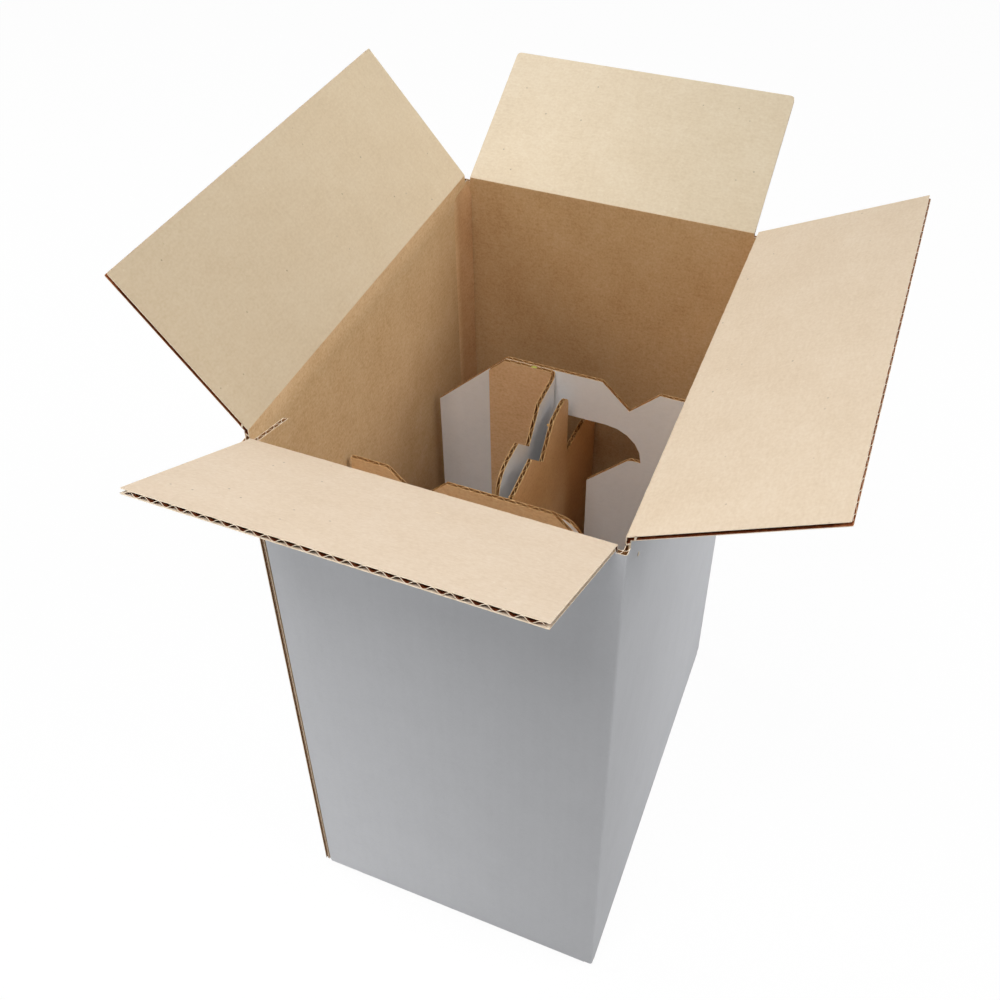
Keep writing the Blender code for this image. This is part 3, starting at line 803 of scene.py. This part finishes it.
def divider(name, fold_shift, end_shift, turned, reshape):
    """A divider of the insert, with the folded flap that glues it to its panel. The
    shifts are how far it lies to the side at its fold and at its far end."""
    node = "insert_%s_divider" % name
    solid = solid_of(node)
    tree = BVHTree.FromBMesh(solid)
    at_fold, at_end = BOARD / 2 - fold_shift, BOARD / 2 - end_shift
    back = DIVIDER_FOLD + BOARD / 2
    plan = [
        (at_end, DIVIDER_FOLD - DIVIDER_LENGTH, 0), (at_fold, back, BEND),
        (at_fold - GLUE_FLAP, back, 0),
    ]
    spin = -1 if turned else 1
    stations = walk(plan, -1, spin, INSERT_CENTRE - UP * RUN_UP)
    spot, inward, _ = stations[len(stations) // 4]
    spot = Vector((spot.x, spot.y, 150 * MM))
    white = smooth_side(solid, tree, spot)
    brown = smooth_side(solid, tree, spot + inward * BOARD)
    insert_liners(node, white, brown, reshape)
    insert_flutes(node, tree, stations, reshape)
    solid.free()


def crumb(name, place, size, turn, material, body):
    """A bit of torn paper or dried glue: a flat, uneven lump. Its place and size are
    in millimetres and its turn in degrees."""
    mesh = bmesh.new()
    bmesh.ops.create_icosphere(mesh, subdivisions=2, radius=1)
    tilt = Matrix.Rotation(math.radians(turn), 3, "Z")
    for vert in mesh.verts:
        uneven = 1 + 0.45 * noise.noise(vert.co * 1.7 + Vector(place))
        shape = Vector((vert.co.x * size[0], vert.co.y * size[1], vert.co.z * size[2])) * uneven
        vert.co = (tilt @ shape + Vector(place)) * MM
    for face in mesh.faces:
        face.smooth = True
    keep(name, mesh, [material], body, [])


carton()
corner_folds()
for side in WALLS:
    top_flap(side)
cross_panel("rear", False)
cross_panel("front", True)
divider("left", 4.7 * MM, 2.2 * MM, False, flush)
divider("right", 9.6 * MM, 3.1 * MM, True, lowered)
crumb("glue_bead", (-21.6, 65.2, 304.0), (2.1, 1.0, 0.4), 8, GLUE, "box")
crumb("torn_nick", (0.9, 30.6, 292.6), (1.3, 0.9, 1.3), 0, INSERT_CUT, "box")
crumb("torn_shred", (94.2, -111.6, 366.6), (0.3, 1.5, 0.8), 0, CUT, "box")
crumb("front_flap_scuff", (16.7, -149.8, 399.55), (1.5, 0.3, 0.15), 5, CUT, "front_flap")


# Studio
SENSOR = 36
FOCAL_SHARE = 1.1625         # focal length in widths of the photograph
EYE = Vector((171.5, -451.1, 751.6)) * MM
EYE_RIGHT = Vector((0.92543, 0.37872, -0.01242))
EYE_LOOK = Vector((-0.29868, 0.70891, -0.63893))


def camera():
    """The photograph's viewpoint."""
    lens = bpy.data.cameras.new("photo_camera")
    lens.sensor_width = SENSOR
    lens.lens = FOCAL_SHARE * SENSOR
    lens.shift_x, lens.shift_y = 0.0025, -0.1198
    lens.clip_start, lens.clip_end = 0.01, 50
    eye = bpy.data.objects.new("photo_camera", lens)
    right = EYE_RIGHT.normalized()
    look = EYE_LOOK.normalized()
    up = right.cross(look)
    turn = Matrix((right, up, -look)).transposed().to_4x4()
    eye.matrix_world = Matrix.Translation(EYE) @ turn
    bpy.context.scene.collection.objects.link(eye)
    bpy.context.scene.camera = eye


def lamp(name, place, aim, size, power):
    """A soft square lamp that looks at a point."""
    light = bpy.data.lights.new(name, "AREA")
    light.size = size
    light.energy = power
    thing = bpy.data.objects.new(name, light)
    thing.location = place
    thing.rotation_euler = (Vector(aim) - Vector(place)).to_track_quat("-Z", "Y").to_euler()
    bpy.context.scene.collection.objects.link(thing)


# name: place in metres, side of the square in metres, watts
LAMPS = {
    "high_back": ((0, 1.7, 1.8), 1.2, 5.8),
    "high_left": ((-1.7, 0.1, 1.7), 1.2, 19.9),
    "high_right": ((1.7, 0.1, 1.7), 1.2, 20.8),
    "front_low": ((-0.8, -2.0, 0.15), 1.0, 10.7),
    "front_high": ((-0.6, -1.8, 1.0), 1.0, 1.4),
    "right": ((2.2, -0.3, 0.5), 1.2, 5.0),
    "near_front": ((0, -0.5, 1.25), 0.4, 5.3),
}
LAMP_AIM = (0, 0, 0.3)       # metres

FLOOR_GLOW = 1.03            # white to the camera
GLOW_SHARE = 0.92            # the rest of the floor's tone shows the carton's shadow
FAINT_LIGHT = 0.03           # of the surround on the carton

# Outputs of the Light Path node
CAMERA_RAY, GLOSSY_RAY, TRANSMISSION_RAY = 0, 3, 6


def floor():
    """A pale floor that looks white and keeps the carton's shadow."""
    mesh = bmesh.new()
    bmesh.ops.create_grid(mesh, x_segments=1, y_segments=1, size=6)
    data = bpy.data.meshes.new("floor")
    mesh.to_mesh(data)
    mesh.free()
    ground = bpy.data.objects.new("floor", data)
    bpy.context.scene.collection.objects.link(ground)
    finish = Finish(bpy.data.materials.new("pale_floor"))
    finish.put(finish.inputs["Base Color"], (0.8, 0.8, 0.8))
    finish.put(finish.inputs["Roughness"], 0.9)
    seen, glossy, through = (
        finish.node("ShaderNodeLightPath", output=ray)
        for ray in (CAMERA_RAY, GLOSSY_RAY, TRANSMISSION_RAY)
    )
    share = finish.maths("MINIMUM", seen + glossy + through, 1.0) * GLOW_SHARE
    glow = finish.node("ShaderNodeEmission", None, {"Color": (1, 1, 1), "Strength": FLOOR_GLOW})
    own = Value(finish, finish.shader.outputs[0])
    both = finish.node("ShaderNodeMixShader", None, {0: share, 1: own, 2: glow})
    finish.put(finish.tree.nodes["Material Output"].inputs["Surface"], both)
    data.materials.append(finish.owner)


def surround():
    """A white background that lights the carton only faintly."""
    world = bpy.data.worlds.new("white_surround")
    bpy.context.scene.world = world
    back = Finish(world, "Background")
    seen = back.node("ShaderNodeLightPath", output=CAMERA_RAY)
    sockets = {"Value": seen, "To Min": FAINT_LIGHT, "To Max": 1.0}
    back.put(back.inputs["Strength"], back.node("ShaderNodeMapRange", None, sockets))
    back.put(back.inputs["Color"], (1, 1, 1))


camera()
floor()
surround()
for name, (place, size, power) in LAMPS.items():
    lamp(name, place, LAMP_AIM, size, power)
bpy.context.scene.view_settings.view_transform = "Standard"
